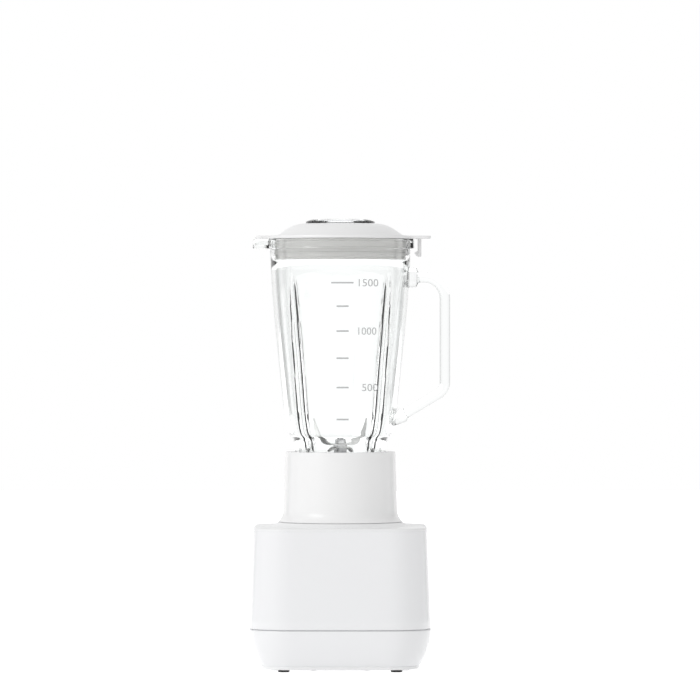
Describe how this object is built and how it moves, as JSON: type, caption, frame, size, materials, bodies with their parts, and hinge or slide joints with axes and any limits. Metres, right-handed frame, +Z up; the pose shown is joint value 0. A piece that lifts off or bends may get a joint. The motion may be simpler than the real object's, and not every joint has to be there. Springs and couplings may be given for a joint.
{
  "type": "countertop blender",
  "caption": "Countertop blender: rounded-square motor base with side speed dial, lift-off blade unit, fluted glass jug with handle, sealed lid and clear measuring cap.",
  "frame": {"origin": "centre of the plane that the four feet stand on", "axes": "+Z up along the drive axis, +X towards the jug's handle, -Y to the front"},
  "size_m": [0.1902, 0.172, 0.4265],
  "materials": {
    "white_casing": "satin moulded",
    "white_collar": "gloss moulded",
    "foot_rubber": "matt",
    "seal_rubber": "matt silicone",
    "coupler_plastic": "satin",
    "clear_glass": "clear",
    "clear_plastic": "clear",
    "print": "printed",
    "blade_steel": "ground",
    "plain_steel": "turned",
    "sintered_bronze": "matt",
    "laminated_iron": "stacked sheets",
    "copper_wire": "enamelled",
    "bracket_metal": "cast",
    "holder_brass": "pressed",
    "carbon": "matt",
    "inner_plastic": "matt"
  },
  "bodies": {
    "base": {"bottom_cover": "white_casing", "feet": "foot_rubber", "cover_screws": "plain_steel", "base_skirt": "white_casing", "base_housing": "white_casing", "dial_recess": "white_casing", "rotary_switch": "inner_plastic", "cord_inlet": "foot_rubber", "terminal_block": "inner_plastic", "top_deck": "white_casing", "splash_seal": "foot_rubber", "upper_bracket": "bracket_metal", "lower_bracket": "bracket_metal", "upper_bearing": "plain_steel", "lower_bearing": "plain_steel", "stator_core": "laminated_iron", "field_coils": "copper_wire", "brush_holders": "holder_brass", "carbon_brushes": "carbon", "motor_mounts": "foot_rubber", "motor_screws": "plain_steel"},
    "rotor": {"motor_shaft": "plain_steel", "armature_core": "laminated_iron", "armature_windings": "copper_wire", "commutator": "copper_wire", "cooling_fan": "inner_plastic", "drive_coupler": "coupler_plastic"},
    "dial": {"speed_knob": "white_casing", "knob_spindle": "plain_steel"},
    "blade_unit": {"blade_collar": "white_collar", "jug_seal": "seal_rubber", "bearing_sleeve": "plain_steel", "upper_bush": "sintered_bronze", "lower_bush": "sintered_bronze", "shaft_seal": "foot_rubber"},
    "blades": {"blade_shaft": "plain_steel", "lower_blade": "blade_steel", "blade_washer": "blade_steel", "upper_blade": "blade_steel", "blade_nut": "blade_steel", "drive_socket": "coupler_plastic"},
    "jug": {"glass_jug": "clear_glass", "jug_handle": "clear_glass", "volume_marks": "print"},
    "lid": {"lid": "white_collar", "lid_gasket": "seal_rubber"},
    "cap": {"measuring_cap": "clear_plastic"}
  },
  "joints": [
    {"name": "motor_spin", "type": "hinge", "parent": "base", "child": "rotor", "pos_m": [0, 0, 0.1], "axis": [0, 0, 1], "continuous": true},
    {"name": "dial_turn", "type": "hinge", "parent": "base", "child": "dial", "pos_m": [0.075, 0, 0.088], "axis": [1, 0, 0], "range_deg": [-45, 90]},
    {"name": "blade_unit_lift", "type": "slide", "parent": "base", "child": "blade_unit", "axis": [0, 0, 1], "range_m": [0, 0.0437]},
    {"name": "blade_spin", "type": "hinge", "parent": "blade_unit", "child": "blades", "pos_m": [0, 0, 0.2], "axis": [0, 0, 1], "continuous": true},
    {"name": "jug_lift", "type": "slide", "parent": "blade_unit", "child": "jug", "axis": [0, 0, 1], "range_m": [0, 0.0674]},
    {"name": "lid_lift", "type": "slide", "parent": "jug", "child": "lid", "axis": [0, 0, 1], "range_m": [0, 0.0342]},
    {"name": "cap_lift", "type": "slide", "parent": "lid", "child": "cap", "axis": [0, 0, 1], "range_m": [0, 0.0347]}
  ],
  "couplings": [
    {"joint": "blade_spin", "follows": "motor_spin", "ratio": 1}
  ]
}
